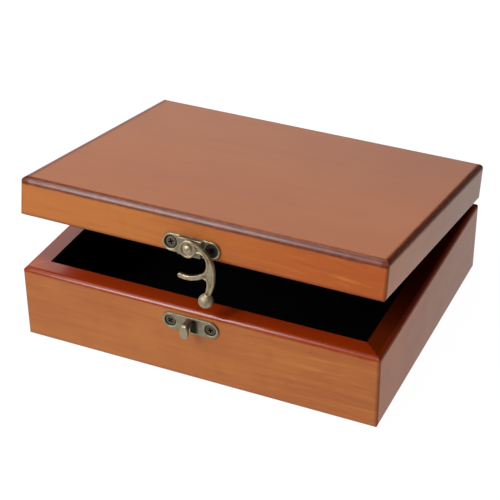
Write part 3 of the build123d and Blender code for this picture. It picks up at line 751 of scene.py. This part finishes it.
# painted light and shade in these calls: the tone factors set each wall's lightness as well as its stain, the right
# walls and the right rim are painted darker, and the right walls are painted lighter at the front and darker at the
# back
wood_base_front = wood("stained_wood_front", "x", False, 1.0, 0.87, gloss=0.46, gloss_right=0.40, streaks=0.75, satin=(0.166, 0.238), crisp=0.40,
                       edge_shine=(0.48, 0.76, 0.42))
wood_base_left = wood("stained_wood_left", "y", False, 2.0, 1.0, rim_stain_and_shade=0.95, rim_colour_and_shade=(0.17, 0.018, 0.002), gloss=0.8)
wood_base_right = wood("stained_wood_right", "y", False, 5.0, (0.92, 0.83, 0.90), rim_colour_and_shade=(0.074, 0.003, 0.0004), gloss=0.13, satin=(0.161, 0.231), ior=1.29, painted_falloff=(1.0, 0.76))
wood_lid_top = wood("stained_wood_lid_top", "x", True, 3.0, (0.922, 0.86, 0.91), figure=0.5, gloss=0.49, gloss_right=0.45, painted_shade_back=0.55, satin=(0.286, 0.300), grit=0.2,
                    edge_shine=(1.0, 1.22, 1.08))
wood_lid_front = wood("stained_wood_lid_front", "x", True, 6.0, 0.86, warm_and_lit_left=0.85, gloss=0.48, gloss_right=0.30, streaks=0.8,
                      edge_shine=(1.0, 1.22, 1.08))
wood_lid_left = wood("stained_wood_lid_left", "y", True, 4.0, 0.85)
# on the lid's right side the dark edge band stops higher up: partly stain, partly painted shade standing in for a
# tighter rounding there
wood_lid_right = wood("stained_wood_lid_right", "y", True, 7.0, 0.79, gloss=0.20, satin=(0.161, 0.231), ior=1.29, painted_falloff=(1.25, 0.68),
                      edge_band_down=(-0.0031, -0.0020))


def plain_board(name):
    k = Tree(name)
    place = k.node("ShaderNodeTexCoord").outputs["Object"]
    streak = k.noise(k.stretch(place, 1.0, 30.0, 30.0), 10.0, 4.0, 0.6)
    speck = k.noise(k.stretch(place, 1, 1, 1), 300.0, 2.0, 0.5)
    colour = k.mix(k.step(streak, 0.3, 0.7), lin(128, 96, 66), lin(172, 138, 100))
    colour = k.mix(k.step(speck, 0.55, 0.75, 0.0, 0.3), colour, lin(104, 74, 48))
    return k.finish(
        {"Base Color": colour, "Roughness": k.step(speck, 0.2, 0.8, 0.55, 0.75)},
        [(streak, 0.3, 0.0001), (speck, 0.2, 0.00005)],
    )


def flock(name):
    k = Tree(name)
    place = k.node("ShaderNodeTexCoord").outputs["Object"]
    nap = k.noise(k.stretch(place, 1, 1, 1), 2600.0, 2.0, 0.6)
    brush = k.noise(k.stretch(place, 1, 1, 1), 45.0, 3.0, 0.55)
    colour = k.mix(k.step(nap, 0.3, 0.7), lin(4, 4, 5), lin(10, 10, 12))
    colour = k.mix(k.step(brush, 0.35, 0.75, 0.0, 0.6), colour, lin(6, 6, 7))
    return k.finish(
        {
            "Base Color": colour,
            "Roughness": k.step(nap, 0.2, 0.8, 0.88, 1.0),
            "Specular IOR Level": 0.05,
        },
        [(nap, 0.6, 0.0003), (brush, 0.2, 0.0003)],
    )


def brass(name, mid, bright, dark, rough_lo, rough_hi, baked=True, seed=0.0):
    """Antique brass: dark patina in the hollows, rubbed bright on the edges; the baked attributes also carry painted
    shade beside the catch's claw and on the lid plate's right screw, and painted light on the claw's neck.
    """
    k = Tree(name)
    place = k.node("ShaderNodeTexCoord").outputs["Object"]
    blotch = k.noise(k.stretch(place, 1, 1, 1, (seed, seed, seed)), 420.0, 3.0, 0.6)
    grit = k.noise(k.stretch(place, 1, 1, 1, (seed, 0, 0)), 2400.0, 3.0, 0.6)
    cloud = k.noise(k.stretch(place, 1, 1, 1, (0, seed, 0)), 150.0, 2.0, 0.5)
    colour = k.mix(k.step(blotch, 0.34, 0.62), tuple(mid[i] * 0.50 for i in range(3)) + (1.0,), mid)
    colour = k.mix(k.step(cloud, 0.45, 0.75, 0.0, 0.35), colour, tuple(0.5 * (mid[i] + dark[i]) for i in range(3)) + (1.0,))
    if baked:
        # cavity: patina in the hollows, plus painted shade where it was laid in; edge: rubbed wear, plus painted light
        # on the claw's neck
        cavity = k.attr("cavity")
        edge = k.attr("edge")
        rubbed = k.math("ADD", k.step(edge, 0.12, 0.50), k.math("MULTIPLY", k.math("SUBTRACT", grit, 0.5), 0.5), clamp=True)
        colour = k.mix(k.math("MULTIPLY", rubbed, 0.85), colour, bright)
        sunk = k.math("ADD", k.step(cavity, 0.10, 0.62), k.math("MULTIPLY", k.math("SUBTRACT", blotch, 0.5), 0.5), clamp=True)
        colour = k.mix(k.math("MULTIPLY", sunk, 0.92), colour, dark)
        rough = k.math("ADD", k.step(grit, 0.25, 0.75, rough_lo, rough_hi), k.math("MULTIPLY", sunk, 0.15))
        rough = k.math("ADD", rough, k.math("MULTIPLY", rubbed, 0.20))
        rough = k.math("ADD", rough, k.math("MULTIPLY", k.attr("matt"), 0.13))
    else:
        colour = k.mix(k.step(grit, 0.58, 0.75, 0.0, 0.5), colour, dark)
        rough = k.step(grit, 0.25, 0.75, rough_lo, rough_hi)
    return k.finish(
        {"Base Color": colour, "Metallic": 1.0, "Roughness": rough},
        [(grit, 0.35, 0.00004), (blotch, 0.3, 0.00007)],
    )


brass_cast = brass("antique_brass", lin(154, 141, 116), lin(218, 201, 166), lin(36, 31, 24), 0.34, 0.50, True, 1.0)
brass_plate = brass("antique_brass_plate", lin(134, 124, 104), lin(206, 194, 162), lin(24, 21, 17), 0.34, 0.50, True, 4.0)
brass_catch = brass("antique_brass_catch", lin(124, 116, 98), lin(196, 182, 148), lin(20, 16, 12), 0.34, 0.50, True, 5.0)
brass_screw = brass("screw_metal", lin(66, 61, 54), lin(120, 108, 90), lin(9, 9, 8), 0.36, 0.54, True, 2.0)
brass_hinge = brass("hinge_brass", lin(176, 158, 112), lin(226, 208, 160), lin(70, 58, 40), 0.28, 0.44, False, 3.0)


def dress(obj, *mats):
    obj.data.materials.clear()
    for m in mats:
        obj.data.materials.append(m)


lining = flock("black_lining")
board = plain_board("bottom_board")
for n, o in nodes.items():
    if o.hide_render:
        continue
    if n.endswith("_lining"):
        dress(o, lining)
    elif n == "base_bottom_panel":
        dress(o, board)
    elif "hinge" in n:
        dress(o, brass_hinge)
    elif n == "base_left_wall":
        dress(o, wood_base_left)
    elif n == "base_right_wall":
        dress(o, wood_base_right)
    elif n.startswith("base_"):
        dress(o, wood_base_front)
    elif n == "lid_left_wall":
        dress(o, wood_lid_left)
    elif n == "lid_right_wall":
        dress(o, wood_lid_right)
    elif n == "lid_top_panel":
        dress(o, wood_lid_top, wood_lid_front, wood_lid_left, wood_lid_right)
    else:
        dress(o, wood_lid_front)
for o in (hook, rivet):
    dress(o, brass_cast)
dress(latch, brass_plate)
dress(strike, brass_catch)
for o in (latch_screws, strike_screws, base_hinge_screws, lid_hinge_screws):
    dress(o, brass_screw)

# the lid board's edges carry the same streaks as the sides below them
lid_out = Vector((0, -CA, SA))
for poly in nodes["lid_top_panel"].data.polygons:
    nx, ny = poly.normal.x, poly.normal.dot(lid_out)
    if nx > 0.72:
        poly.material_index = 3
    elif nx < -0.72:
        poly.material_index = 2
    elif abs(ny) > 0.72:
        poly.material_index = 1

# =====================================================================
# Stage: pale floor, soft light, camera
# =====================================================================
floor_mesh = bpy.data.meshes.new("studio_floor")
floor_mesh.from_pydata([(-4, -4, -0.0002), (4, -4, -0.0002), (4, 4, -0.0002), (-4, 4, -0.0002)], [], [(0, 1, 2, 3)])
floor = bpy.data.objects.new("studio_floor", floor_mesh)
bpy.context.scene.collection.objects.link(floor)
k = Tree("studio_floor")
place = k.node("ShaderNodeTexCoord").outputs["Object"]
paper = k.noise(place, 6.0, 2.0, 0.5)
dress(
    floor,
    k.finish(
        {
            "Base Color": k.mix(paper, (0.05, 0.05, 0.05, 1), (0.07, 0.07, 0.07, 1)),
            "Roughness": 0.9,
            "Specular IOR Level": 0.0,
            "Emission Color": (1.0, 1.0, 1.0, 1.0),
            "Emission Strength": 0.985,
        }
    ),
)

scene = bpy.context.scene
scene.view_settings.view_transform = "Standard"
scene.view_settings.look = "None"
scene.view_settings.exposure = 0.0
scene.view_settings.gamma = 1.0

world = bpy.data.worlds.new("studio")
scene.world = world
world.use_nodes = True
wt = world.node_tree
wt.nodes.clear()
sky = wt.nodes.new("ShaderNodeTexCoord")
sep = wt.nodes.new("ShaderNodeSeparateXYZ")
wt.links.new(sky.outputs["Generated"], sep.inputs[0])


def wmath(op, a, b):
    n = wt.nodes.new("ShaderNodeMath")
    n.operation = op
    for i, v in enumerate((a, b)):
        if isinstance(v, bpy.types.NodeSocket):
            wt.links.new(v, n.inputs[i])
        else:
            n.inputs[i].default_value = v
    return n.outputs[0]


def wstep(value, lo, hi, a, b):
    n = wt.nodes.new("ShaderNodeMapRange")
    n.interpolation_type = "SMOOTHSTEP"
    wt.links.new(value, n.inputs["Value"])
    for key, v in (("From Min", lo), ("From Max", hi), ("To Min", a), ("To Max", b)):
        n.inputs[key].default_value = v
    return n.outputs[0]


WORLD_FRONT, WORLD_BACK, WORLD_RIGHT, WORLD_TOP = 0.20, 0.72, 0.12, 0.25
level = wstep(sep.outputs["Y"], -0.5, 0.5, WORLD_FRONT, WORLD_BACK)
level = wmath("MULTIPLY", level, wstep(sep.outputs["X"], -0.14, 0.16, 1.0, WORLD_RIGHT))
level = wmath("MULTIPLY", level, wstep(sep.outputs["Z"], 0.38, 0.50, 1.0, 2.10))
level = wmath("MULTIPLY", level, wstep(sep.outputs["Z"], 0.58, 0.74, 1.0, WORLD_TOP / 2.10))
bg = wt.nodes.new("ShaderNodeBackground")
wt.links.new(level, bg.inputs["Color"])
bg.inputs["Strength"].default_value = 1.0
wo = wt.nodes.new("ShaderNodeOutputWorld")
wt.links.new(bg.outputs[0], wo.inputs[0])


def softbox(name, at, aim, size_x, size_y, power, roll=0.0):
    data = bpy.data.lights.new(name, "AREA")
    data.shape = "RECTANGLE"
    data.size, data.size_y = size_x, size_y
    data.energy = power
    obj = bpy.data.objects.new(name, data)
    bpy.context.scene.collection.objects.link(obj)
    obj.location = at
    d = Vector(aim) - Vector(at)
    obj.rotation_mode = "QUATERNION"
    obj.rotation_quaternion = d.to_track_quat("-Z", "Y") @ Quaternion((0, 0, 1), math.radians(roll))
    obj.visible_camera = False
    return obj


softbox("key", (-0.57, -1.10, 1.02), (0.0, 0.0, 0.03), 0.24, 0.90, 9.5)
softbox("key_spread", (-0.85, -0.95, 1.15), (0.0, 0.0, 0.03), 1.5, 1.5, 21.0)
softbox("overhead", (-0.22, 0.05, 1.6), (0.0, 0.0, 0.0), 0.7, 0.8, 6.4)

# camera, from the photograph's edges
F_PX, AZ, EL, ROLL, DIST = 1502.849, 24.5643, 32.6822, -0.4072, 0.8246
TARGET = Vector((-0.0046084, 0.0, 0.031342))
az, el, roll = math.radians(AZ), math.radians(EL), math.radians(ROLL)
back = Vector((math.sin(az) * math.cos(el), -math.cos(az) * math.cos(el), math.sin(el)))
right = (-back).cross(Vector((0, 0, 1))).normalized()
up = right.cross(-back).normalized()
r2 = right * math.cos(roll) + up * math.sin(roll)
u2 = -right * math.sin(roll) + up * math.cos(roll)
cam_data = bpy.data.cameras.new("camera")
cam_data.sensor_fit = "AUTO"
cam_data.sensor_width = 36.0
cam_data.lens = F_PX / 500.0 * 36.0
cam_data.shift_x, cam_data.shift_y = -0.0008, 0.0004
cam_data.clip_start, cam_data.clip_end = 0.01, 20.0
cam = bpy.data.objects.new("camera", cam_data)
scene.collection.objects.link(cam)
m = Matrix.Identity(4)
pos = TARGET + back * DIST
for i in range(3):
    m[i][0], m[i][1], m[i][2], m[i][3] = r2[i], u2[i], back[i], pos[i]
cam.matrix_world = m
scene.camera = cam
